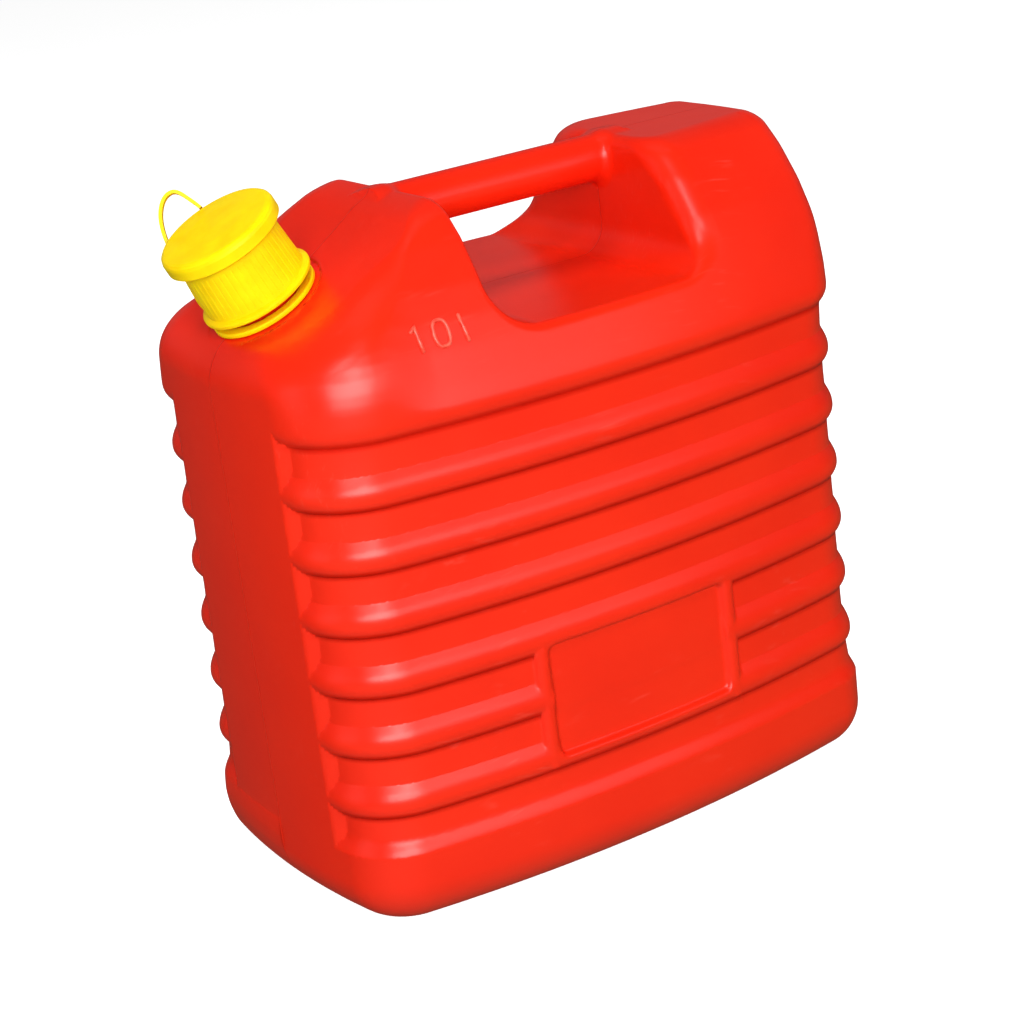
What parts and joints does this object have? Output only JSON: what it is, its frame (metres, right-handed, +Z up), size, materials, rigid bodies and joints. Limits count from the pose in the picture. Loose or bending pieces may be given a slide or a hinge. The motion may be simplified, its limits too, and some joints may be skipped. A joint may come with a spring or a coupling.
{
  "type": "gas can",
  "caption": "Moulded plastic fuel can with a ribbed body, a carrying handle over a finger recess and a tilted screw neck closed by a collar, stowed spout and tethered lid.",
  "frame": {"origin": "centre of the flat underside, at floor level", "axes": "+Z up, +X along the body towards the closed rear end with the neck at -X, +Y towards the back wide face; the wide face with the label panel looks along -Y"},
  "size_m": [0.2914, 0.175, 0.3095],
  "materials": {
    "red_plastic": "satin",
    "yellow_plastic": "satin",
    "seal_rubber": "matte"
  },
  "bodies": {
    "can": {"canister": "red_plastic"},
    "tether": {"tether_ring": "yellow_plastic", "tether_strap": "yellow_plastic"},
    "lid": {"lid": "yellow_plastic", "lid_seal": "seal_rubber"},
    "spout": {"pour_spout": "yellow_plastic", "spout_gasket": "seal_rubber"},
    "collar": {"screw_collar": "yellow_plastic"}
  },
  "joints": [
    {"name": "tether_turn", "type": "hinge", "parent": "can", "child": "tether", "pos_m": [-0.1099, 0, 0.2618], "axis": [-0.4431, 0, 0.8965], "continuous": true},
    {"name": "lid_lift", "type": "slide", "parent": "tether", "child": "lid", "axis": [-0.4431, 0, 0.8965], "range_m": [0, 0.02], "deforming": ["tether_strap"]},
    {"name": "spout_lift", "type": "slide", "parent": "can", "child": "spout", "axis": [-0.4431, 0, 0.8965], "range_m": [0, 0.01]},
    {"name": "collar_turn", "type": "hinge", "parent": "spout", "child": "collar", "pos_m": [-0.1099, 0, 0.2618], "axis": [-0.4431, 0, 0.8965], "range_deg": [0, 900]}
  ],
  "couplings": [
    {"joint": "spout_lift", "follows": "lid_lift", "ratio": 0.5},
    {"joint": "collar_turn", "follows": "lid_lift", "rad_per_m": 785.4}
  ]
}
